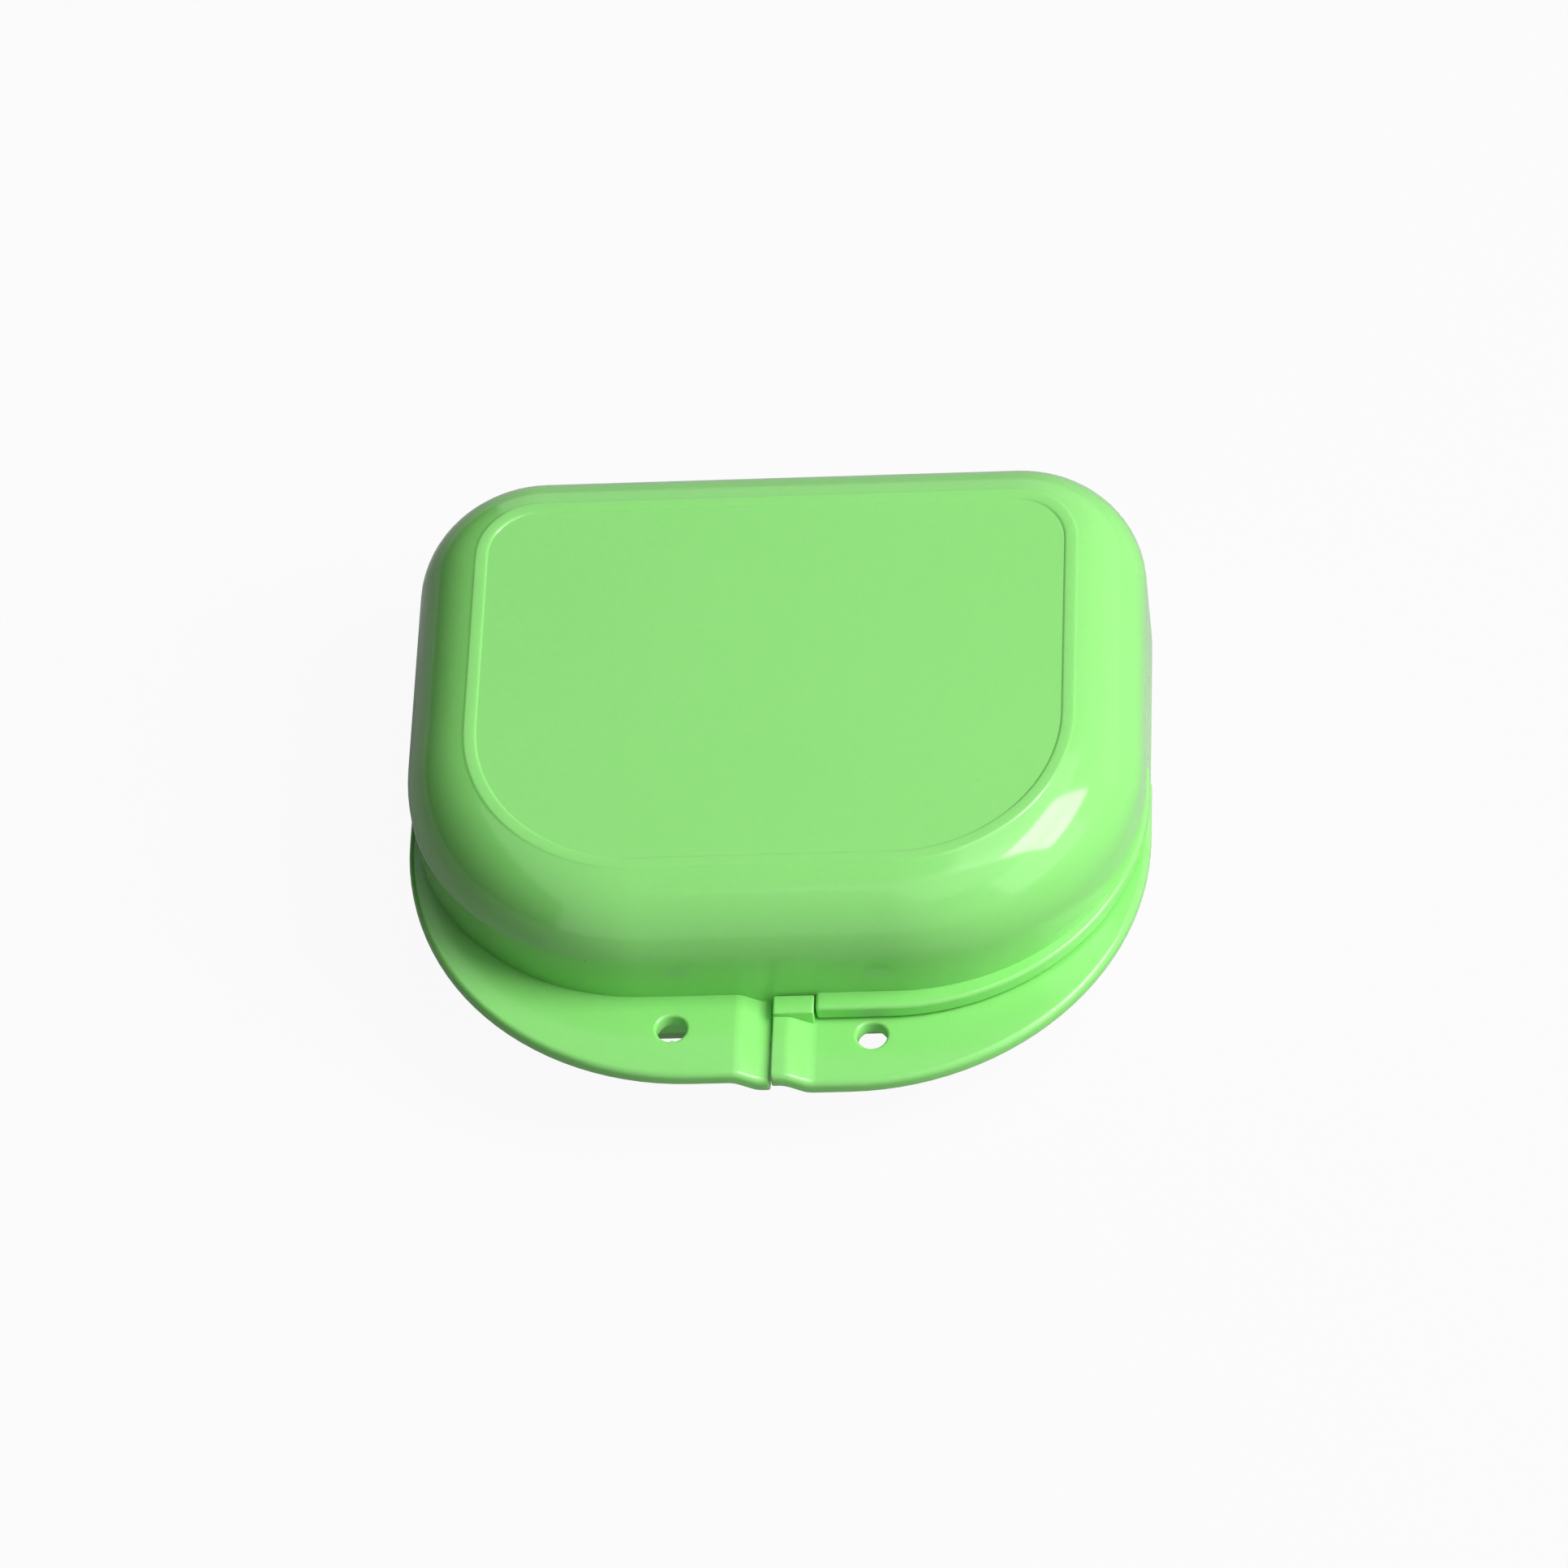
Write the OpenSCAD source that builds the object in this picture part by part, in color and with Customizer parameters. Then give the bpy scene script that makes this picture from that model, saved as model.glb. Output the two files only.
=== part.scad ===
// Orthodontic retainer case: a shallow base and a domed lid on two pin hinges, with a pair of thumb tabs

/* [Case] */
// Outer width of both halves where they meet
case_w = 79.6; // [74:0.1:90]
// Outer depth of both halves where they meet, without tabs and hinges
case_d = 63.6; // [58:0.1:74]
// Outer radius of the two front corners
front_r = 26.2; // [22:0.1:30]
// Outer radius of the two back corners
back_r = 13.9; // [12:0.1:18]
// Thickness of the walls, the floor and the top
wall = 1.6; // [1.5:0.1:2]
// Gap between the closed halves
parting_gap = 0.15; // [0.1:0.05:0.3]

/* [Lid] */
// Height of the lid from its foot to its flat top
lid_h = 15.7; // [15:0.1:22]
// Radius of the rounding round the top
lid_edge_r = 9; // [7:0.1:9.4]
// Slope in degrees at which that rounding meets the flat top
shoulder = 14; // [8:1:18]
// Height of the ridge that frames the top panel
ridge_h = 0.15; // [0.1:0.05:0.3]
// Width of the ridge at its foot
ridge_w = 1.9; // [1.4:0.1:2.4]
// Width of each sloping flank of the ridge
ridge_flank = 0.45; // [0.3:0.05:0.6]

/* [Base] */
// Height of the base from the table to the parting plane
base_h = 10.5; // [9.5:0.1:16]
// Radius of the rounding round the bottom
base_edge_r = 7; // [4:0.1:7.4]
// Height of the rim that stands up on the inner half of the wall
rim_h = 1.5; // [0.8:0.1:2.5]
// Thickness of that rim
rim_t = 0.7; // [0.6:0.05:0.8]
// Gap between the rim and the rebate that takes it in the lid
rim_gap = 0.25; // [0.2:0.05:0.35]

/* [Lip] */
// Reach of the lip in front of the walls
lip_reach = 2.1; // [1.5:0.05:3]
// Reach of the lip beside the walls
lip_side = 0.2; // [0.15:0.05:0.3]
// Radius of the lip's front corners
lip_r = 27.3; // [25:0.1:29]
// Thickness of the lip and of the tabs
tab_t = 2; // [1.6:0.1:2.6]

/* [Tabs] */
// Reach of the tabs in front of the lip
tab_reach = 8.25; // [6:0.05:12]
// Reach of the tabs beside the lip
tab_side = 0.1; // [0.1:0.05:0.6]
// Radius of the tabs' front corners
tab_r = 31.7; // [29:0.1:34]
// Length of lip and tabs along the sides, from the front wall back
tab_run = 29; // [27:0.5:36]
// Place of the split between the tabs, right of the middle
split_x = 0.1; // [-1:0.05:1]
// Gap between the two tabs at the split
split_gap = 0.2; // [0.15:0.05:0.5]
// Radius of the hole in each tab
hole_r = 1.6; // [1.2:0.1:2]
// Distance of each hole from the split
hole_x = 10.6; // [8:0.1:16]
// Plastic left between each hole and the lip
hole_margin = 0.45; // [0.3:0.05:2]
// Change of level at the end of each tab
step_h = 1.45; // [0.8:0.05:1.6]
// Length of the level end past the step of the lid's tab
lid_flat = 0.9; // [0.6:0.1:2.5]
// Length of the level end past the step of the base's tab
base_flat = 1.8; // [1:0.1:2.5]
// Length of the slope of a step
step_run = 2.4; // [1.5:0.1:3]

/* [Catch] */
// Width of the catch post
post_w = 4.4; // [3.5:0.1:6]
// Height of the catch post above the parting plane
post_h = 2.1; // [1.5:0.05:2.15]
// How far the catch post stands in front of the lip
post_proud = 0.4; // [0.2:0.05:0.8]
// Gap between the catch post and the end of the lip beside it
post_gap = 0.15; // [0.1:0.05:0.4]
// Gap between the moving half and what it passes at the front
pass_gap = 0.4; // [0.3:0.05:0.5]

/* [Hinge] */
// Distance of each hinge from the middle
hinge_x = 16; // [12:0.5:18]
// Width of one knuckle
knuckle_w = 4; // [3:0.1:5]
// Gap between neighbouring knuckles
knuckle_gap = 0.3; // [0.2:0.05:0.5]
// Wall of a knuckle round its pin
knuckle_wall = 1.4; // [1.2:0.1:2]
// Gap between a knuckle and the back wall
knuckle_room = 1.1; // [0.9:0.1:2]
// Radius of the hinge pins
pin_r = 0.9; // [0.7:0.05:1.2]
// Running clearance of the lid's knuckles on the pins
pin_play = 0.05; // [0.03:0.01:0.08]

/* [Hidden] */
$fn = 96;
plastic = "#94e07e";
steel = "#b8bcc0";

knuckle_r = pin_r + knuckle_wall;
hinge_back = knuckle_r + knuckle_room;
total_d = tab_reach + lip_reach + case_d + hinge_back + knuckle_r;
front_y = tab_reach + lip_reach - total_d / 2;
back_y = front_y + case_d;
tab_back = front_y + tab_run;
hinge_y = back_y + hinge_back;
lid_z = base_h + parting_gap;
hinge_z = base_h + parting_gap / 2;
pin_l = 3 * knuckle_w + 2 * knuckle_gap;

lid_split = split_x - split_gap / 2;
base_split = split_x + split_gap / 2;
step_left = lid_split - lid_flat - step_run;
// How far the bends of a step lie left of those above them, so that the tab keeps its thickness
step_lean = tab_t * tan(atan2(step_h, step_run) / 2);
lip_front = front_y - lip_reach;
hole_y = lip_front - hole_margin - hole_r;
// What the rebate leaves of the lid's wall
skirt_t = wall - rim_t - rim_gap;
// How far in from the outline the lid's flat top begins
shoulder_in = lid_edge_r * (1 - sin(shoulder));
// How far in from the outline a wall's section reaches
section_reach = max(lid_edge_r, base_edge_r) + wall;
// Overlap of features that grow out of a wall
root = wall / 4;
// Longer than any cut it is used for
far = 2 * case_w;

// An outline is [half width, front y, back y, front radius, back radius]
function outline(side, ahead, r_front) =
    [case_w / 2 + side, front_y - ahead, back_y + side, r_front, back_r + side];
function inset(o, by) = [o[0] - by, o[1] + by, o[2] - by, o[3] - by, o[4] - by];

walls = outline(0, 0, front_r);
lip = outline(lip_side, lip_reach, lip_r);
tabs = outline(lip_side + tab_side, lip_reach + tab_reach, tab_r);

// Corner centres with their radii, anticlockwise from the back right
function corners(o) = [
    [o[0] - o[4], o[2] - o[4], o[4]],
    [o[4] - o[0], o[2] - o[4], o[4]],
    [o[3] - o[0], o[1] + o[3], o[3]],
    [o[0] - o[3], o[1] + o[3], o[3]]
];

// Flat D shape of an outline
module plan(o) {
    for (c = corners(o)) translate([c[0], c[1]]) circle(c[2]);
    translate([o[3] - o[0], o[1]]) square([2 * (o[0] - o[3]), o[2] - o[1] - o[4]]);
    translate([o[4] - o[0], o[1] + o[3]]) square([2 * (o[0] - o[4]), o[2] - o[1] - o[3]]);
    translate([-o[0], o[1] + o[3]]) square([2 * o[0], o[2] - o[1] - o[3] - o[4]]);
}

// Carries a flat section round an outline: its x = 0 runs on the outline, its y goes up
module around(o) {
    hubs = corners(o);
    for (i = [0 : 3]) {
        way = hubs[i] - hubs[(i + 3) % 4];
        length = abs(i % 2 == 0 ? way[1] : way[0]);
        translate([hubs[i][0], hubs[i][1], 0]) rotate(90 * i) {
            rotate_extrude(angle = 90) translate([hubs[i][2], 0]) children();
            translate([hubs[i][2], 0, 0]) rotate([90, 0, 0]) linear_extrude(length) children();
        }
    }
}

// Section of a rounded half, moved in by skin, from its foot at y = 0 up to its flat top,
// which the rounding meets at a slope
module half_section(height, edge_r, slope, skin) {
    rise = edge_r * cos(slope);
    r = edge_r - skin;
    translate([-section_reach, 0]) square([section_reach - skin, height - rise]);
    translate([-section_reach, 0]) square([section_reach - edge_r, height - skin]);
    translate([-edge_r, height - rise]) intersection() {
        circle(r);
        square([r, rise - skin]);
    }
}

// Section of a half's wall and of the edge of its flat top
module wall_section(height, edge_r, slope) {
    difference() {
        half_section(height, edge_r, slope, 0);
        half_section(height, edge_r, slope, wall);
    }
}

// One half of the case, open at its foot, on the given section of its wall
module bowl(height) {
    around(walls) children();
    translate([0, 0, height - wall]) linear_extrude(wall) plan(inset(walls, section_reach));
}

// The base, with a rim on the inner half of its wall
module base_bowl() {
    bowl(base_h) {
        wall_section(base_h, base_edge_r, 0);
        translate([-wall, -rim_h]) square([rim_t, rim_h + root]);
    }
}

// The lid, with a rebate that takes the rim
module lid_bowl() {
    bowl(lid_h) difference() {
        wall_section(lid_h, lid_edge_r, shoulder);
        translate([-2 * wall, -rim_h]) square([2 * wall - skirt_t, 2 * rim_h + rim_gap - parting_gap]);
    }
}

// Frame round the lid's top panel, with its outer flank run down into the rounding
module ridge() {
    half = ridge_w / 2;
    crest = half - ridge_flank;
    around(inset(walls, shoulder_in + half - ridge_flank / 4)) translate([0, lid_h]) polygon([
        [-half, 0], [-crest, ridge_h], [crest, ridge_h], [half + ridge_flank, -ridge_h],
        [half, -root], [-half, -root]
    ]);
}

// Part of the plan in front of the line where lip and tabs end
module front_part() {
    intersection() {
        children();
        translate([-far / 2, tab_back - far]) square([far, far]);
    }
}

// Narrow shelf round the front of a half, with a notch from x = from to x = to
module lip_shelf(from, to) {
    linear_extrude(tab_t) difference() {
        front_part() plan(lip);
        plan(inset(walls, root));
        translate([from, lip_front - 1]) square([to - from, lip_reach + 1]);
    }
}

// Knuckles of one half on both hinges, each on a web that leaves the back wall above or below the pin
module knuckles(places, bore_r, up) {
    for (hinge = [-1, 1], place = places) {
        x = hinge * hinge_x + place * (knuckle_w + knuckle_gap) - knuckle_w / 2;
        translate([x, hinge_y, hinge_z]) difference() {
            union() {
                rotate([0, 90, 0]) cylinder(r = knuckle_r, h = knuckle_w);
                translate([0, -hinge_back - root, up > 0 ? parting_gap : -knuckle_r])
                    cube([knuckle_w, hinge_back + root, knuckle_r - parting_gap]);
            }
            translate([-1, 0, 0]) rotate([0, 90, 0]) cylinder(r = bore_r, h = knuckle_w + 2);
        }
    }
}

// Crescent between the tabs' outline and the lip
module crescent() {
    difference() {
        front_part() plan(tabs);
        plan(lip);
    }
}

// Side view of a tab, seen along y: level, then a slope, then level again up to the split
module tab_profile(split, out, flat, rise) {
    flat_x = split + out * flat;
    level_x = flat_x + out * step_run;
    end_x = out * far / 2;
    polygon([
        [split, rise], [flat_x - step_lean, rise], [level_x - step_lean, 0], [end_x, 0],
        [end_x, tab_t], [level_x, tab_t], [flat_x, tab_t + rise], [split, tab_t + rise]
    ]);
}

// Thumb tab of the given plan on one side of the split, from z = 0 to tab_t apart from its stepped end
module tab(split, out, flat, rise) {
    difference() {
        intersection() {
            translate([0, 0, -tab_t]) linear_extrude(3 * tab_t) children();
            translate([0, far / 2, 0]) rotate([90, 0, 0]) linear_extrude(far)
                tab_profile(split, out, flat, rise);
        }
        translate([split_x + out * hole_x, hole_y, -tab_t]) cylinder(r = hole_r, h = 3 * tab_t);
    }
}

module base_shell() {
    color(plastic) {
        translate([0, 0, base_h]) mirror([0, 0, 1]) base_bowl();
        translate([0, 0, base_h - tab_t]) lip_shelf(step_left - step_lean - pass_gap, base_split);
        knuckles([-1, 1], pin_r, -1);
    }
}

// The base's tab rises to the split, where the catch post stands on the lip behind it
module base_tab() {
    color(plastic) {
        translate([0, 0, base_h - tab_t]) tab(base_split, 1, base_flat, step_h) crescent();
        translate([base_split, lip_front - post_proud, base_h])
            cube([post_w, lip_reach + post_proud - parting_gap, post_h]);
    }
}

module lid_shell() {
    color(plastic) translate([0, 0, lid_z]) {
        lid_bowl();
        ridge();
        lip_shelf(step_left, base_split + post_w + post_gap);
        translate([0, 0, -lid_z]) knuckles([0], pin_r + pin_play, 1);
    }
}

// The lid's tab drops to the split, and its stepped end runs on to just short of the wall
module lid_tab() {
    color(plastic) translate([0, 0, lid_z]) tab(lid_split, -1, lid_flat, -step_h) {
        crescent();
        translate([step_left, lip_front]) square([lid_split - step_left, lip_reach - pass_gap]);
    }
}

module hinge_pin(side) {
    color(steel) translate([side * hinge_x - pin_l / 2, hinge_y, hinge_z])
        rotate([0, 90, 0]) cylinder(r = pin_r, h = pin_l);
}

module hinge_pin_left() { hinge_pin(-1); }
module hinge_pin_right() { hinge_pin(1); }

base_shell();
base_tab();
lid_shell();
lid_tab();
hinge_pin_left();
hinge_pin_right();
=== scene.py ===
"""Looks of the orthodontic retainer case: two green mouldings on hinge pins, in a plain pale studio."""

import math
from collections import namedtuple

import bmesh
import bpy
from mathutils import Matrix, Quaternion, Vector


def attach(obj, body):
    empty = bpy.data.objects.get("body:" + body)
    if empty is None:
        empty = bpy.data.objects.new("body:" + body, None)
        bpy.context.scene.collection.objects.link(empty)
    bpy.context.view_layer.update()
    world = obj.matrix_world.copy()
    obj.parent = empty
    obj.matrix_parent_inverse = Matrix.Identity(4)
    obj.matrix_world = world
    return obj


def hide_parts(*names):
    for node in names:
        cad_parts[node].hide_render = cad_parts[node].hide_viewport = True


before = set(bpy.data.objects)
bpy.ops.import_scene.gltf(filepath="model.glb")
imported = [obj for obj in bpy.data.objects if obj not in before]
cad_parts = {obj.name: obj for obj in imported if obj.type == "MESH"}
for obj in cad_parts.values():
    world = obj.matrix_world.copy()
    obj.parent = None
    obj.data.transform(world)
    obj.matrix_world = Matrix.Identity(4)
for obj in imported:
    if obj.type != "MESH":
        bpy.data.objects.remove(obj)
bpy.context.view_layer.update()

Outline = namedtuple("Outline", "half front back front_r back_r")
Rounding = namedtuple("Rounding", "radius steps")
Scuff = namedtuple("Scuff", "scale turn rarity")
Lamp = namedtuple("Lamp", "name azimuth elevation distance width height radiance")

# Sizes of the solids. Pieces are modelled in millimetres and brought to metres when they are done.
METRES = 0.001
CASE_W = 79.6
FRONT_Y = -29.475
BACK_Y = 34.125
FRONT_R = 26.2
BACK_R = 13.9
WALL = 1.6
BASE_H = 10.5
BASE_EDGE_R = 7.0
LID_Z = 10.65
LID_H = 15.7
LID_EDGE_R = 9.0
# Angle at which the lid's rounding meets its flat top
SHOULDER = math.radians(14)
# What the flat top cuts off the lid's rounding
LID_CUT = LID_EDGE_R * (1 - math.cos(SHOULDER))
PARTING_GAP = LID_Z - BASE_H
RIM_H = 1.5
RIM_T = 0.7
RIM_GAP = 0.25
SKIRT_T = WALL - RIM_T - RIM_GAP
LIP_REACH = 2.1
LIP_SIDE = 0.2
LIP_R = 27.3
TAB_REACH = 8.25
TAB_SIDE = 0.1
TAB_R = 31.7
# How far the tabs and the lip run back along the walls
TAB_RUN = 29.0
TAB_BACK = FRONT_Y + TAB_RUN
TAB_T = 2.0
SPLIT_X = 0.1
SPLIT_GAP = 0.2
HOLE_R = 1.6
HOLE_X = 10.6
HOLE_Y = -33.625
STEP_H = 1.45
STEP_RUN = 2.4
# How far the bends below lie from those above, so that the slope keeps the thickness of the tab
STEP_LEAN = TAB_T * math.tan(math.atan2(STEP_H, STEP_RUN) / 2)
LID_FLAT = 0.9
BASE_FLAT = 1.8
POST_W = 4.4
POST_H = 2.1
POST_PROUD = 0.4
POST_GAP = 0.15
# Room between a tab and what it swings past
PASS_GAP = 0.4
# Where the base's lip ends, left of the lid's stepped tab end
LIP_END = SPLIT_X - SPLIT_GAP / 2 - LID_FLAT - STEP_RUN - STEP_LEAN - PASS_GAP
HINGE_X = 16.0
HINGES = (-HINGE_X, HINGE_X)
HINGE_Y = 37.525
HINGE_Z = 10.575
HINGE_MIDDLE = (0, HINGE_Y, HINGE_Z)
KNUCKLE_R = 2.3
KNUCKLE_W = 4.0
KNUCKLE_GAP = 0.3
PIN_R = 0.9
PIN_PLAY = 0.05
PIN_L = 3 * KNUCKLE_W + 2 * KNUCKLE_GAP

# Finer forms of the mouldings
# Width and rise of each ring of the ridge, from its foot to its crown
RIDGE_RINGS = ((0.10, 0.06), (0.10, 0.05), (0.14, 0.03), (0.44, 0.01))
TAB_EDGE = Rounding(0.7, 5)
SPLIT_EDGE = Rounding(0.2, 3)
LIP_EDGE = Rounding(0.45, 4)
HOLE_EDGE = Rounding(0.4, 4)
STEP_BEND = Rounding(0.55, 5)
POST_EDGE = Rounding(0.25, 3)
FOOT_EDGE = Rounding(0.18, 2)
RIM_EDGE = Rounding(0.18, 3)
KNUCKLE_EDGE = Rounding(0.25, 3)
PIN_EDGE = Rounding(0.2, 3)
FRONT_STEPS = 28
BACK_STEPS = 18
DOME_STEPS = 18
ROD_SIDES = 48
# Edges that turn by more than this are rounded
SHARP = math.radians(50)
# Edges that turn by less than this are shaded smooth
SMOOTH = math.radians(30)
# Places closer than this are the same
NEAR = 1e-3
# A joined piece is set this far off its neighbour's plane, so that no two faces share a plane
HAIR = 0.01
# How far features that grow out of a wall reach into it
ROOT = WALL / 4
POST_ROOT = 0.5
# The softened bends of a step end within this distance of its level part
BEND_REACH = 1.0
# How far a joined or cutting solid goes past the face it meets
PAST = 1.0
# Farther than any piece reaches
FAR = 100.0

# Finishes, with linear colours
PLASTIC_DEEP = (0.262, 0.760, 0.178, 1)
PLASTIC_LIGHT = (0.285, 0.790, 0.200, 1)
PLASTIC_PALE = (0.370, 0.845, 0.300, 1)
PLASTIC_ROUGHNESS = 0.11
SPECK = (0.08, 0.20, 0.05, 1)
STEEL_LIGHT = (0.60, 0.61, 0.62, 1)
STEEL_DULL = (0.36, 0.35, 0.34, 1)
STEEL_ROUGHNESS = 0.24
WHITE = (1, 1, 1, 1)
FLOOR_GREY = (0.45, 0.45, 0.45, 1)
# Near-black of the card that stands in for the unlit side of the room: painted shade in the reflections on
# the case's left side
CARD_GREY = (0.03, 0.03, 0.03, 1)

# Patterns of the plastic, with scales per metre, depths in metres and shares of the colour
CLOUD_SCALE = 38
CLOUD_ROUGHNESS = 0.05
PIGMENT_SCALE = 2600
PIGMENT_DEPTH = 0.0000006
PIGMENT_SHARE = 0.12
RIPPLE_SCALE = 520
RIPPLE_DEPTH = 0.000001
WEAR_SCALE = 90
SCUFFS_ALONG = Scuff((60, 2400, 60), 0.5, 0.7)
SCUFFS_ACROSS = Scuff((50, 2800, 50), -0.9, 0.71)
SCUFF_DEPTH = 0.0000008
SCUFF_SHARE = 0.10
SCUFF_ROUGHNESS = 0.12
SPECK_SCALE = 260.0
SPECK_SIZE = 0.035
SPECK_RARITY = 0.86
SPECK_SHARE = 0.45

# Patterns of the steel, given in the same way
DIE_LINE_SCALE = (120, 9000, 9000)
DIE_LINE_DEPTH = 0.000004
DIE_LINE_SHARE = 0.3
DIE_LINE_ROUGHNESS = 0.14
OXIDE_SCALE = 900
OXIDE_SHARE = 0.5
OXIDE_ROUGHNESS = 0.1

# Camera of the photograph, in metres and degrees, with its lens and sensor in millimetres
VIEW_AZIMUTH = 9.0006
VIEW_ELEVATION = 53.1031
VIEW_ROLL = -8.7874
VIEW_DISTANCE = 0.939605
VIEW_AIM = Vector((0.0004784, -0.0020086, 0.013))
LENS = 199.423
SENSOR_W = 36
VIEW_END = 20

# Studio, in metres and degrees
FLOOR_SIZE = 12
# Share of white that the floor shows to the camera
FLOOR_SHOWN = 0.94
# Share of that white in a reflection, where the floor shows more of its own grey and its shadow
FLOOR_MIRRORED = 0.15
# Place and size of that dark card, which the camera doesn't see and which the case shows only as a painted
# dark reflection
CARD_AZIMUTH = 262
CARD_DISTANCE = 0.4
CARD_W = 1.4
CARD_H = 0.5
ROOM_LIGHT = 0.03
LAMPS = (
    Lamp("window", 86, 45, 1.0, 0.48, 0.53, 10.6),
    Lamp("right_wall", 65, 25, 1.2, 0.9, 0.7, 1.6),
    Lamp("ceiling", 100, 65, 1.2, 0.9, 0.7, 1.8),
    Lamp("front_wall", 35, 58, 1.2, 0.9, 0.7, 0.8),
)


def shrunk(outline, by):
    return Outline(outline.half - by, outline.front + by, outline.back - by,
                   outline.front_r - by, outline.back_r - by)


def grown(side, ahead, front_r):
    return Outline(CASE_W / 2 + side, FRONT_Y - ahead, BACK_Y + side, front_r, BACK_R + side)


walls = grown(0, 0, FRONT_R)
lip = grown(LIP_SIDE, LIP_REACH, LIP_R)
tabs = grown(LIP_SIDE + TAB_SIDE, LIP_REACH + TAB_REACH, TAB_R)


def object_mode():
    """Leaves edit mode and deselects everything."""
    if bpy.context.object and bpy.context.object.mode == "EDIT":
        bpy.ops.object.mode_set(mode="OBJECT")
    bpy.ops.object.select_all(action="DESELECT")


def pick(obj):
    """Leaves edit mode and makes one object the only one selected."""
    object_mode()
    bpy.context.view_layer.objects.active = obj
    obj.select_set(True)


def edit(obj):
    """Opens one object in edit mode."""
    pick(obj)
    bpy.ops.object.mode_set(mode="EDIT")


def take_up(name):
    """Names the primitive that was just added, puts its place into its mesh and opens it in edit mode."""
    obj = bpy.context.object
    obj.name = name
    bpy.ops.object.transform_apply(location=True, rotation=True, scale=True)
    bpy.ops.object.mode_set(mode="EDIT")
    return obj


def choose(obj, kind, test):
    """Selects only the vertices, edges or faces of the open object that pass a test."""
    bpy.ops.mesh.select_mode(type=kind)
    bpy.ops.mesh.select_all(action="DESELECT")
    mesh = bmesh.from_edit_mesh(obj.data)
    for part in {"VERT": mesh.verts, "EDGE": mesh.edges, "FACE": mesh.faces}[kind]:
        if test(part):
            part.select_set(True)
    mesh.select_flush_mode()
    bmesh.update_edit_mesh(obj.data)


def choose_all():
    bpy.ops.mesh.select_all(action="SELECT")


def keep_chosen(obj, test):
    """Drops the chosen vertices that fail a test."""
    mesh = bmesh.from_edit_mesh(obj.data)
    bpy.ops.mesh.select_mode(type="VERT")
    for vert in mesh.verts:
        vert.select_set(vert.select and test(vert))
    mesh.select_flush_mode()
    bmesh.update_edit_mesh(obj.data)


def near(a, b):
    return abs(a - b) < NEAR


def lies_at(axis, *places):
    """Test for a part that lies wholly in one of the planes across an axis."""
    return lambda part: any(all(near(v.co[axis], place) for v in part.verts) for place in places)


def is_sharp(edge):
    return len(edge.link_faces) == 2 and edge.calc_face_angle() > SHARP


def bevel(rounding, affect):
    bpy.ops.mesh.bevel(offset=rounding.radius, offset_type="OFFSET", segments=rounding.steps, profile=0.5,
                       affect=affect, clamp_overlap=False)


def round_edges(rounding):
    bevel(rounding, "EDGES")


def round_corners(rounding):
    bevel(rounding, "VERTICES")


def pull(height):
    bpy.ops.mesh.extrude_region_move(TRANSFORM_OT_translate={"value": (0, 0, height)})


def face_outwards():
    choose_all()
    bpy.ops.mesh.normals_make_consistent(inside=False)


def combine(obj, tool, operation):
    """Joins a second solid to the first, or cuts it out, and removes it."""
    pick(obj)
    change = obj.modifiers.new("combine", "BOOLEAN")
    change.operation = operation
    change.solver = "EXACT"
    change.object = tool
    bpy.ops.object.modifier_apply(modifier=change.name)
    bpy.data.objects.remove(tool)


def copied(model, x):
    """Copy of a model with a mesh of its own, moved along x."""
    object_mode()
    copy = model.copy()
    copy.data = model.data.copy()
    bpy.context.scene.collection.objects.link(copy)
    copy.location.x = x
    pick(copy)
    bpy.ops.object.transform_apply(location=True, rotation=True, scale=True)
    return copy


def join_copies(obj, model, places):
    """Joins a copy of a model to a solid at each place along x, and removes the model."""
    for x in places:
        combine(obj, copied(model, x), "UNION")
    bpy.data.objects.remove(model)


def plate(name, outline, height):
    """Flat plate on a D-shaped outline, left open in edit mode."""
    object_mode()
    middle = (outline.front + outline.back) / 2
    bpy.ops.mesh.primitive_plane_add(size=1, location=(0, middle, height))
    bpy.context.object.scale = (2 * outline.half, outline.back - outline.front, 1)
    obj = take_up(name)
    choose(obj, "VERT", lambda v: v.co.y < middle)
    round_corners(Rounding(outline.front_r, FRONT_STEPS))
    choose(obj, "VERT", lambda v: near(v.co.y, outline.back))
    round_corners(Rounding(outline.back_r, BACK_STEPS))
    return obj


def block(name, outline, low, high):
    """D-shaped block between two heights, left open in edit mode."""
    obj = plate(name, outline, low)
    choose_all()
    pull(high - low)
    face_outwards()
    return obj


def bowl_form(name, outline, foot, end, edge_r, cut):
    """D-shaped block whose edge at the far end is rounded and cut off flat, left open in edit mode."""
    outwards = math.copysign(1, end - foot)
    peak = end + outwards * cut
    obj = block(name, outline, foot, peak)
    choose(obj, "EDGE", lies_at(2, peak))
    round_edges(Rounding(edge_r, DOME_STEPS))
    if cut:
        choose_all()
        bpy.ops.mesh.bisect(plane_co=(0, 0, end), plane_no=(0, 0, outwards), use_fill=True, clear_outer=True)
    return obj


def box(name, low, high):
    """Plain box between two corners, left open in edit mode."""
    object_mode()
    low, high = Vector(low), Vector(high)
    bpy.ops.mesh.primitive_cube_add(size=1, location=(low + high) / 2)
    bpy.context.object.scale = high - low
    return take_up(name)


def rod(name, radius, length, place, axis):
    """Round bar along x or z, left open in edit mode."""
    object_mode()
    turn = (0, math.pi / 2, 0) if axis == "x" else (0, 0, 0)
    bpy.ops.mesh.primitive_cylinder_add(vertices=ROD_SIDES, radius=radius, depth=length,
                                        location=place, rotation=turn)
    return take_up(name)


def outer_form(name, foot, end, edge_r, cut):
    """Solid form of one half of the case, with its foot's edge eased."""
    obj = bowl_form(name, walls, foot, end, edge_r, cut)
    choose(obj, "EDGE", lies_at(2, foot))
    round_edges(FOOT_EDGE)
    return obj


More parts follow.
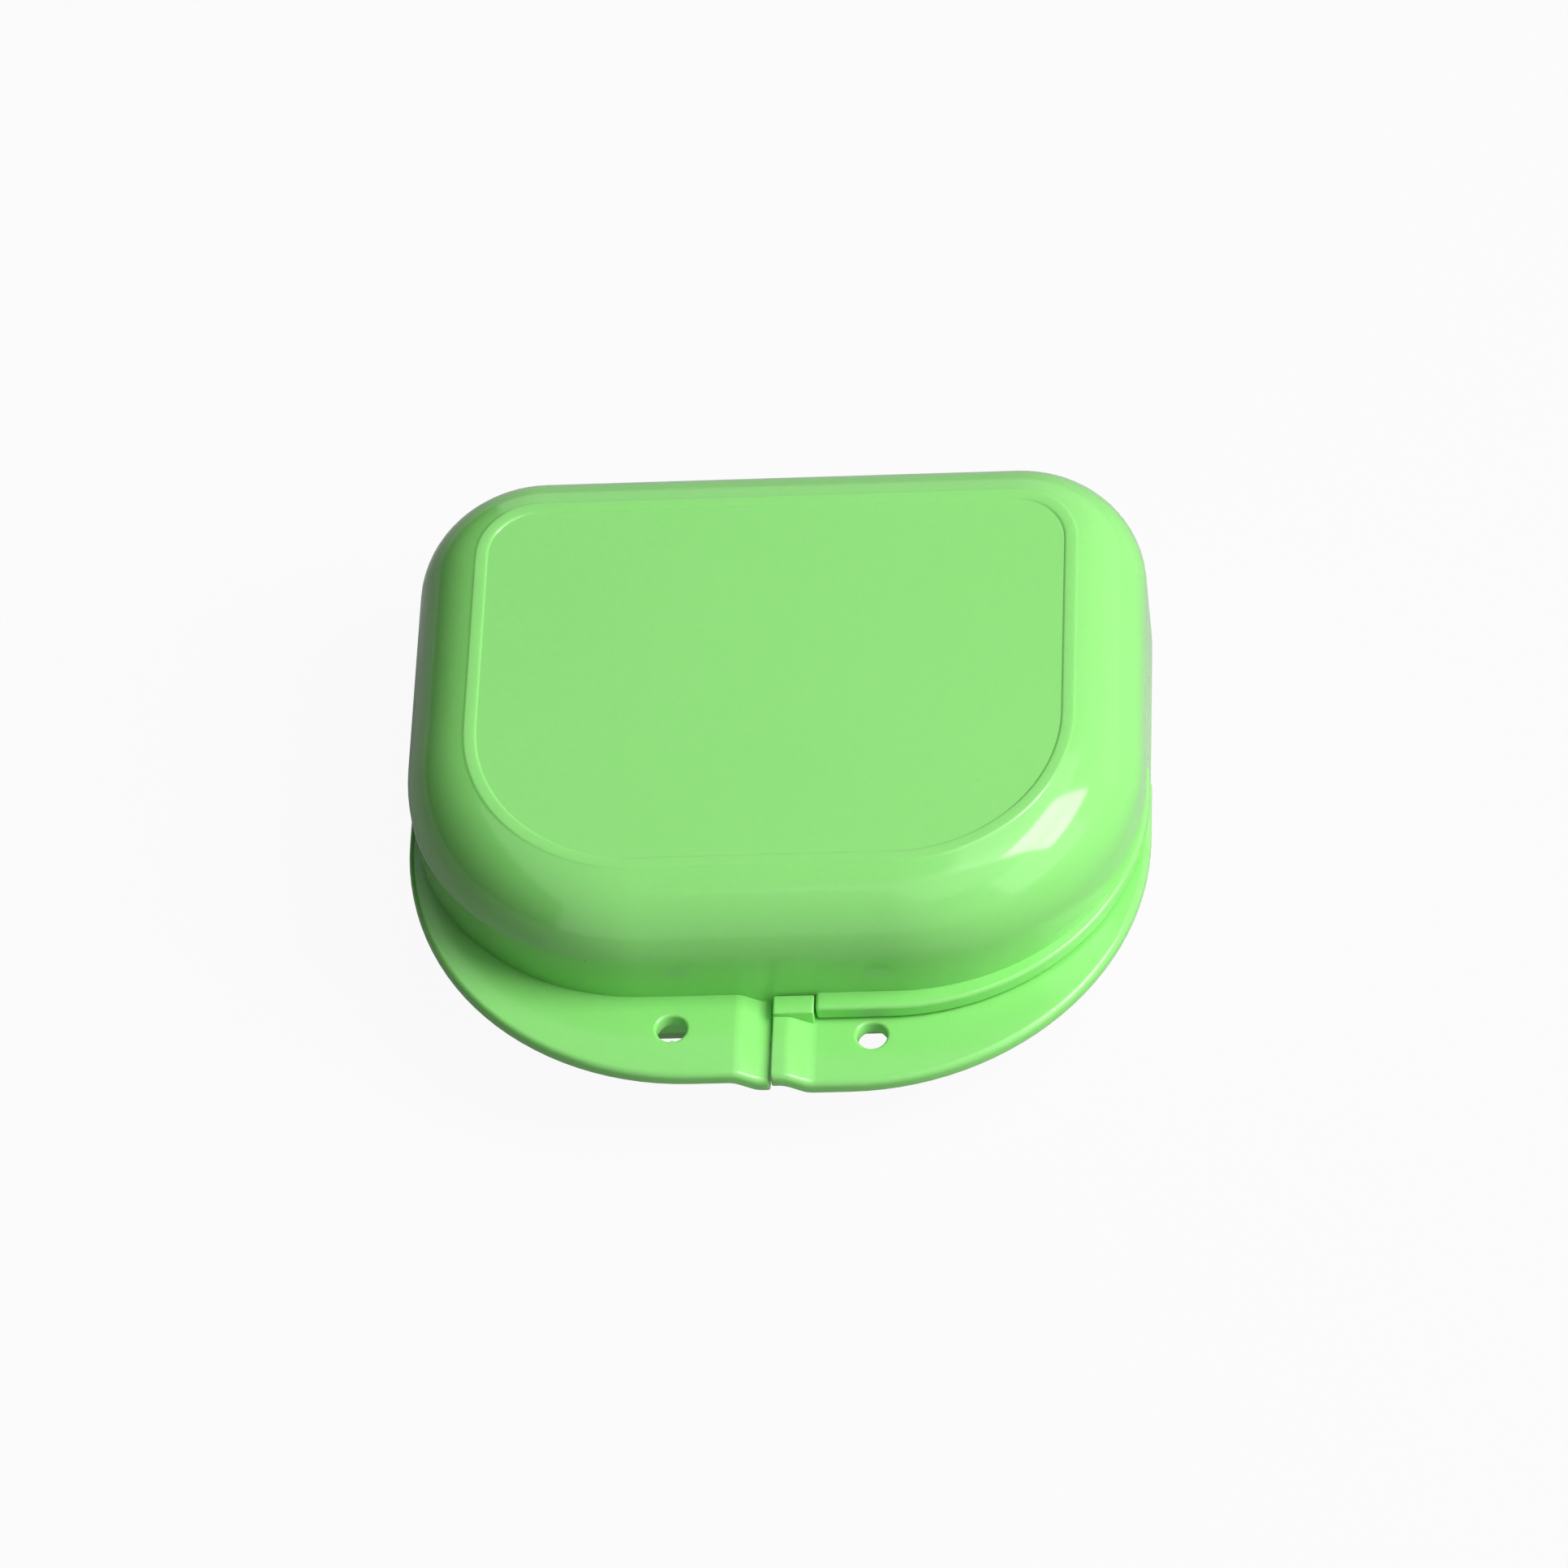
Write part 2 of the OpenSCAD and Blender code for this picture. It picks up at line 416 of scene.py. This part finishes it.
def hollow(obj, foot, end, edge_r, cut):
    """Cuts the room inside out of one half of the case."""
    skin = math.copysign(WALL, end - foot)
    room = bowl_form("room", shrunk(walls, WALL), foot - skin, end - skin, edge_r - WALL, cut)
    combine(obj, room, "DIFFERENCE")


def raise_ridge(lid, top):
    """Sets the ridge on the flat top, ring by ring inwards up to its crown and down again."""
    choose(lid, "FACE", lies_at(2, top))
    for width, rise in RIDGE_RINGS:
        bpy.ops.mesh.inset(thickness=width, depth=rise)
    for width, rise in reversed(RIDGE_RINGS):
        bpy.ops.mesh.inset(thickness=width, depth=-rise)


def lid_dome():
    """Hollow lid with the ridge round its panel and a rebate at its foot that takes the base's rim."""
    top = LID_Z + LID_H
    lid = outer_form("lid", LID_Z, top, LID_EDGE_R, LID_CUT)
    raise_ridge(lid, top)
    hollow(lid, LID_Z, top, LID_EDGE_R, LID_CUT)
    rebate = block("rebate", shrunk(walls, SKIRT_T), LID_Z - PAST, BASE_H + RIM_H + RIM_GAP)
    combine(lid, rebate, "DIFFERENCE")
    edit(lid)
    choose_all()
    bpy.ops.mesh.remove_doubles(threshold=HAIR / 2)
    at_foot = lies_at(2, LID_Z)
    choose(lid, "EDGE", lambda edge: at_foot(edge) and is_sharp(edge))
    round_edges(FOOT_EDGE)
    return lid


def base_tray():
    """Hollow base with a rim on the inner half of its wall."""
    base = outer_form("base", BASE_H, 0, BASE_EDGE_R, 0)
    rim = block("rim", shrunk(walls, WALL - RIM_T), BASE_H - PAST, BASE_H + RIM_H)
    combine(base, rim, "UNION")
    hollow(base, BASE_H, 0, BASE_EDGE_R, 0)
    edit(base)
    choose(base, "EDGE", lies_at(2, BASE_H + RIM_H))
    round_edges(RIM_EDGE)
    return base


def trim_plan(keep, limit):
    """Cuts the open plate off where x passes limit, and behind the line where the tabs end."""
    choose_all()
    bpy.ops.mesh.bisect(plane_co=(limit, 0, 0), plane_no=(keep, 0, 0), clear_inner=True)
    choose_all()
    bpy.ops.mesh.bisect(plane_co=(0, TAB_BACK, 0), plane_no=(0, 1, 0), clear_outer=True)


def open_inside(obj, foot):
    """Clears what would reach through the wall into the case."""
    combine(obj, block("inside", shrunk(walls, ROOT), foot - FAR, foot + FAR), "DIFFERENCE")


def lip_shelf(foot, keep, limit):
    """Narrow shelf in front of the wall on one side of a notch."""
    obj = plate("lip", lip, foot + HAIR)
    trim_plan(keep, limit)
    choose_all()
    pull(TAB_T - HAIR)
    face_outwards()
    choose(obj, "EDGE", is_sharp)
    round_edges(LIP_EDGE)
    open_inside(obj, foot)
    return obj


def split_end(side):
    """Place of a tab's end at the split, with the lid's tab on side -1 and the base's on side 1."""
    return SPLIT_X + side * SPLIT_GAP / 2


def bent_plate(side, foot, flat, rise):
    """Plate of a thumb tab, with its end at the split bent up or down to another level."""
    split = split_end(side)
    bend = split + side * flat
    level = bend + side * STEP_RUN
    obj = plate("tab", tabs, foot + TAB_T)
    trim_plan(side, split)
    for line in (bend, level):
        choose_all()
        bpy.ops.mesh.bisect(plane_co=(line, 0, 0), plane_no=(1, 0, 0))
    choose(obj, "VERT", lambda v: side * (v.co.x - bend) < NEAR)
    bpy.ops.transform.translate(value=(0, 0, rise))
    choose(obj, "EDGE", lies_at(0, bend, level))
    round_edges(STEP_BEND)
    choose_all()
    pull(HAIR - TAB_T)
    keep_chosen(obj, lambda v: side * (v.co.x - split) > NEAR and side * (v.co.x - level) < BEND_REACH)
    bpy.ops.transform.translate(value=(-STEP_LEAN, 0, 0))
    face_outwards()
    return obj


def ease_tab(obj, split):
    """Rounds the edges of a tab, less so at the split."""
    at_split = lies_at(0, split)
    choose(obj, "EDGE", lambda edge: is_sharp(edge) and not at_split(edge))
    round_edges(TAB_EDGE)
    choose(obj, "EDGE", lambda edge: is_sharp(edge) and at_split(edge))
    round_edges(SPLIT_EDGE)


def pierce(obj, place):
    """Cuts the hole of a tab and eases its rims."""
    combine(obj, rod("hole", HOLE_R, 4 * TAB_T, place, "z"), "DIFFERENCE")
    edit(obj)

    def on_wall(vert):
        return near(math.hypot(vert.co.x - place[0], vert.co.y - place[1]), HOLE_R)

    choose(obj, "EDGE", lambda edge: is_sharp(edge) and all(on_wall(vert) for vert in edge.verts))
    round_edges(HOLE_EDGE)


def thumb_tab(side, foot, flat, rise):
    """Thumb tab on one side of the split, with a bent end and an eased hole."""
    obj = bent_plate(side, foot, flat, rise)
    ease_tab(obj, split_end(side))
    pierce(obj, (SPLIT_X + side * HOLE_X, HOLE_Y, foot + TAB_T / 2))
    open_inside(obj, foot)
    return obj


def knuckle(up, bore_r):
    """Hinge knuckle in the middle of the back, on a web that leaves the wall above or below the pin."""
    obj = rod("knuckle", KNUCKLE_R, KNUCKLE_W, HINGE_MIDDLE, "x")
    choose(obj, "EDGE", is_sharp)
    round_edges(KNUCKLE_EDGE)
    inner, outer = PARTING_GAP + HAIR, KNUCKLE_R - HAIR
    low, high = (inner, outer) if up else (-outer, -inner)
    half = KNUCKLE_W / 2 - HAIR
    web = box("web", (-half, BACK_Y - ROOT, HINGE_Z + low), (half, HINGE_Y, HINGE_Z + high))
    combine(obj, web, "UNION")
    combine(obj, rod("bore", bore_r, 2 * KNUCKLE_W, HINGE_MIDDLE, "x"), "DIFFERENCE")
    return obj


def build_lid():
    lid = lid_dome()
    tab = thumb_tab(-1, LID_Z, LID_FLAT, -STEP_H)
    room = box("room", (LIP_END, FRONT_Y - PASS_GAP, 0),
               (split_end(-1) + PAST, FRONT_Y + PAST, LID_Z + HAIR))
    combine(tab, room, "DIFFERENCE")
    combine(lid, tab, "UNION")
    combine(lid, lip_shelf(LID_Z, 1, split_end(1) + POST_W + POST_GAP), "UNION")
    join_copies(lid, knuckle(True, PIN_R + PIN_PLAY), HINGES)
    return lid


def catch_post():
    left = split_end(1)
    front = FRONT_Y - LIP_REACH - POST_PROUD
    back = FRONT_Y - PARTING_GAP
    post = box("post", (left + HAIR, front, BASE_H - POST_ROOT), (left + POST_W, back, BASE_H + POST_H))
    choose(post, "EDGE", is_sharp)
    round_edges(POST_EDGE)
    return post


def build_base():
    split = split_end(1)
    base = base_tray()
    foot = BASE_H - TAB_T
    tab = thumb_tab(1, foot - HAIR, BASE_FLAT, STEP_H)
    room = box("room", (split - PAST, FRONT_Y - PASS_GAP, BASE_H - HAIR),
               (split + POST_W + PAST, FRONT_Y + PAST, BASE_H + 2 * TAB_T))
    combine(tab, room, "DIFFERENCE")
    combine(base, tab, "UNION")
    combine(base, lip_shelf(foot - 2 * HAIR, -1, LIP_END), "UNION")
    combine(base, catch_post(), "UNION")
    pitch = KNUCKLE_W + KNUCKLE_GAP
    join_copies(base, knuckle(False, PIN_R), [x + step for x in HINGES for step in (-pitch, pitch)])
    return base


def build_pin():
    pin = rod("pin", PIN_R, PIN_L, HINGE_MIDDLE, "x")
    choose(pin, "EDGE", is_sharp)
    round_edges(PIN_EDGE)
    return pin


def finish_piece(obj, name, body, slot, material, *nodes):
    """Brings a piece to metres, smooths it, and hangs it on its body in place of its solids."""
    pick(obj)
    obj.name = name
    obj.scale = (METRES, METRES, METRES)
    bpy.ops.object.transform_apply(location=True, rotation=True, scale=True)
    bpy.ops.object.shade_smooth_by_angle(angle=SMOOTH)
    even = obj.modifiers.new("even_normals", "WEIGHTED_NORMAL")
    even.keep_sharp = True
    bpy.ops.object.modifier_apply(modifier=even.name)
    obj.data.materials.clear()
    obj.data.materials.append(material)
    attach(obj, body)
    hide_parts(*nodes)


class Value:
    """One output of a shader node. Sums, differences, products and comparisons of values add Math nodes."""

    def __init__(self, graph, socket):
        self.graph = graph
        self.socket = socket

    def math(self, operation, first, second):
        return self.graph.node("ShaderNodeMath", {"operation": operation}, {0: first, 1: second})

    def __add__(self, other):
        return self.math("ADD", self, other)

    def __radd__(self, other):
        return self.math("ADD", other, self)

    def __sub__(self, other):
        return self.math("SUBTRACT", self, other)

    def __rsub__(self, other):
        return self.math("SUBTRACT", other, self)

    def __mul__(self, other):
        return self.math("MULTIPLY", self, other)

    def __rmul__(self, other):
        return self.math("MULTIPLY", other, self)

    def __gt__(self, other):
        return self.math("GREATER_THAN", self, other)

    def __lt__(self, other):
        return self.math("LESS_THAN", self, other)


class Graph:
    """Nodes of one material or of the world."""

    def __init__(self, tree):
        self.tree = tree
        tree.nodes.clear()

    def node(self, kind, settings=None, sockets=None, output=0):
        """Adds a node, sets it up, gives its sockets numbers, colours or links, and returns one output."""
        node = self.tree.nodes.new(kind)
        for name, setting in (settings or {}).items():
            setattr(node, name, setting)
        for name, given in (sockets or {}).items():
            if isinstance(given, Value):
                self.tree.links.new(given.socket, node.inputs[name])
            else:
                node.inputs[name].default_value = given
        return Value(self, node.outputs[output] if node.outputs else None)

    def surface(self, shader):
        self.node("ShaderNodeOutputMaterial", {}, {"Surface": shader})

    def principled(self, sockets):
        return self.node("ShaderNodeBsdfPrincipled", {}, sockets)

    def matt(self, colour):
        return self.node("ShaderNodeBsdfDiffuse", {}, {"Color": colour})

    def bump(self, height):
        """Normal of a surface whose height is in metres."""
        return self.node("ShaderNodeBump", {}, {"Height": height, "Distance": 1.0})

    def blend(self, amount, first, second):
        """Mix of two colours."""
        return self.node("ShaderNodeMix", {"data_type": "RGBA"}, {0: amount, 6: first, 7: second}, 2)

    def noise(self, place, scale, detail=2.0):
        return self.node("ShaderNodeTexNoise", {}, {"Vector": place, "Scale": scale, "Detail": detail})

    def stretched(self, place, scale, turn=0.0):
        """Coordinates turned about z and then scaled along each axis."""
        turned = self.node("ShaderNodeMapping", {}, {"Vector": place, "Rotation": (0, 0, turn)})
        return self.node("ShaderNodeMapping", {}, {"Vector": turned, "Scale": scale})

    def scuffs(self, place, scuff):
        """Hair scuffs that run one way, as ones on zero."""
        return self.noise(self.stretched(place, scuff.scale, scuff.turn), 1, 3) > scuff.rarity

    def specks(self, place, scale, size, rarity):
        """Small dots in a few of many cells, as ones on zero."""
        cells = {"Vector": place, "Scale": scale}
        middle = self.node("ShaderNodeTexVoronoi", {}, cells, "Distance") < size
        chance = self.node("ShaderNodeTexVoronoi", {}, cells, "Color")
        return middle * (self.node("ShaderNodeSeparateColor", {}, {0: chance}) > rarity)

    def object_place(self):
        return self.node("ShaderNodeTexCoord", output="Object")

    def seen(self, mirrored=1.0):
        """One for the camera, directly or through glass, mirrored for reflections, zero for other light."""
        camera, mirror, glass = (
            self.node("ShaderNodeLightPath", output=f"Is {kind} Ray")
            for kind in ("Camera", "Glossy", "Transmission"))
        direct = camera.math("MAXIMUM", camera, glass)
        return direct.math("MAXIMUM", direct, mirror * mirrored)


def new_material(name):
    material = bpy.data.materials.new(name)
    material.use_nodes = True
    return material, Graph(material.node_tree)


def moulded_plastic():
    """Glossy green plastic: cloudy pigment, a faint ripple of the mould, hair scuffs, a few dark specks."""
    material, graph = new_material("green_plastic")
    place = graph.object_place()
    clouds = graph.noise(place, CLOUD_SCALE, 3)
    pigment = graph.noise(place, PIGMENT_SCALE, 1)
    ripple = graph.noise(place, RIPPLE_SCALE, 2)
    scuffs = graph.scuffs(place, SCUFFS_ALONG) + graph.scuffs(place, SCUFFS_ACROSS)
    worn = graph.noise(place, WEAR_SCALE, 2) * scuffs
    specks = graph.specks(place, SPECK_SCALE, SPECK_SIZE, SPECK_RARITY)
    body = graph.blend(clouds, PLASTIC_DEEP, PLASTIC_LIGHT)
    grained = graph.blend(pigment * PIGMENT_SHARE, body, PLASTIC_PALE)
    scuffed = graph.blend(worn * SCUFF_SHARE, grained, PLASTIC_PALE)
    height = ripple * RIPPLE_DEPTH + pigment * PIGMENT_DEPTH - worn * SCUFF_DEPTH
    graph.surface(graph.principled({
        "Base Color": graph.blend(specks * SPECK_SHARE, scuffed, SPECK),
        "Roughness": PLASTIC_ROUGHNESS + (clouds - 0.5) * CLOUD_ROUGHNESS + worn * SCUFF_ROUGHNESS,
        "Specular IOR Level": 0.45,
        "Subsurface Weight": 0.25,
        "Subsurface Radius": (0.25, 1.0, 0.2),
        "Subsurface Scale": 0.002,
        "Normal": graph.bump(height),
    }))
    return material


def drawn_steel():
    """Wire of the hinge pins, with die lines along it and a dull cloud of oxide."""
    material, graph = new_material("pin_steel")
    place = graph.object_place()
    lines = graph.noise(graph.stretched(place, DIE_LINE_SCALE), 1, 2)
    oxide = graph.noise(place, OXIDE_SCALE, 3)
    graph.surface(graph.principled({
        "Base Color": graph.blend(oxide * OXIDE_SHARE + lines * DIE_LINE_SHARE, STEEL_LIGHT, STEEL_DULL),
        "Metallic": 1.0,
        "Roughness": STEEL_ROUGHNESS + lines * DIE_LINE_ROUGHNESS + oxide * OXIDE_ROUGHNESS,
        "Normal": graph.bump(lines * DIE_LINE_DEPTH),
    }))
    return material


def pale_floor():
    """Matt floor that looks white and keeps a part of the object's shadow."""
    material, graph = new_material("floor")
    white = graph.node("ShaderNodeEmission", {}, {"Color": WHITE, "Strength": 1.0})
    share = graph.seen(FLOOR_MIRRORED) * FLOOR_SHOWN
    graph.surface(graph.node("ShaderNodeMixShader", {}, {0: share, 1: graph.matt(FLOOR_GREY), 2: white}))
    return material


# Matt near-black of the stand-in card, for painted shade in reflections
def dark_paper():
    material, graph = new_material("dark_card")
    graph.surface(graph.matt(CARD_GREY))
    return material


def towards(azimuth, elevation):
    """Unit vector to a place seen at an azimuth, 0 in front and 90 to the right, and an elevation."""
    a, e = math.radians(azimuth), math.radians(elevation)
    return Vector((math.sin(a) * math.cos(e), -math.cos(a) * math.cos(e), math.sin(e)))


def place_facing(data, azimuth, elevation, distance):
    """Puts a camera or a lamp into the scene, at a distance from the case and turned to face it."""
    obj = bpy.data.objects.new(data.name, data)
    bpy.context.scene.collection.objects.link(obj)
    away = towards(azimuth, elevation)
    obj.location = VIEW_AIM + distance * away
    obj.rotation_mode = "QUATERNION"
    obj.rotation_quaternion = (-away).to_track_quat("-Z", "Y")
    return obj


def make_camera():
    data = bpy.data.cameras.new("camera")
    data.lens = LENS
    data.sensor_width = SENSOR_W
    data.clip_end = VIEW_END
    camera = place_facing(data, VIEW_AZIMUTH, VIEW_ELEVATION, VIEW_DISTANCE)
    turn = Quaternion((0, 0, 1), math.radians(VIEW_ROLL))
    camera.rotation_quaternion = camera.rotation_quaternion @ turn
    bpy.context.scene.camera = camera


def make_lamp(lamp):
    """Rectangular lamp that faces the case, as bright as a white sheet times radiance."""
    data = bpy.data.lights.new(lamp.name, "AREA")
    data.shape = "RECTANGLE"
    data.size = lamp.width
    data.size_y = lamp.height
    data.energy = lamp.radiance * math.pi * lamp.width * lamp.height
    place_facing(data, lamp.azimuth, lamp.elevation, lamp.distance)


def make_floor():
    object_mode()
    bpy.ops.mesh.primitive_plane_add(size=FLOOR_SIZE, location=(0, 0, 0))
    floor = bpy.context.object
    floor.name = "floor"
    floor.data.materials.append(pale_floor())


def make_card():
    """Dark card out of the picture and hidden from the camera, standing in for the unlit side of the room:
    the side of the case that faces it mirrors it as painted shade.
    """
    object_mode()
    away = towards(CARD_AZIMUTH, 0)
    middle = CARD_DISTANCE * away + Vector((0, 0, CARD_H / 2))
    bpy.ops.mesh.primitive_plane_add(size=1, location=middle)
    card = bpy.context.object
    card.name = "dark_card"
    card.scale = (CARD_W, CARD_H, 1)
    card.rotation_mode = "QUATERNION"
    card.rotation_quaternion = away.to_track_quat("Z", "Y")
    card.visible_camera = False
    card.data.materials.append(dark_paper())


def make_world():
    """Dim even light all round, which looks white where it is seen."""
    world = bpy.data.worlds.new("studio")
    bpy.context.scene.world = world
    world.use_nodes = True
    graph = Graph(world.node_tree)
    strength = ROOM_LIGHT + graph.seen() * (1 - ROOM_LIGHT)
    light = graph.node("ShaderNodeBackground", {}, {"Color": WHITE, "Strength": strength})
    graph.node("ShaderNodeOutputWorld", {}, {"Surface": light})


green = moulded_plastic()
steel = drawn_steel()

finish_piece(build_lid(), "lid_moulding", "lid", "green_plastic", green, "lid_shell", "lid_tab")
finish_piece(build_base(), "base_moulding", "base", "green_plastic", green, "base_shell", "base_tab")
pin = build_pin()
for x, side in zip(HINGES, ("left", "right")):
    finish_piece(copied(pin, x), f"steel_pin_{side}", "base", "pin_steel", steel, f"hinge_pin_{side}")
bpy.data.objects.remove(pin)

make_camera()
make_floor()
# Dark stand-in for the unlit side of the room, giving painted shade in reflections
make_card()
make_world()
for lamp in LAMPS:
    make_lamp(lamp)
bpy.context.scene.view_settings.view_transform = "Standard"
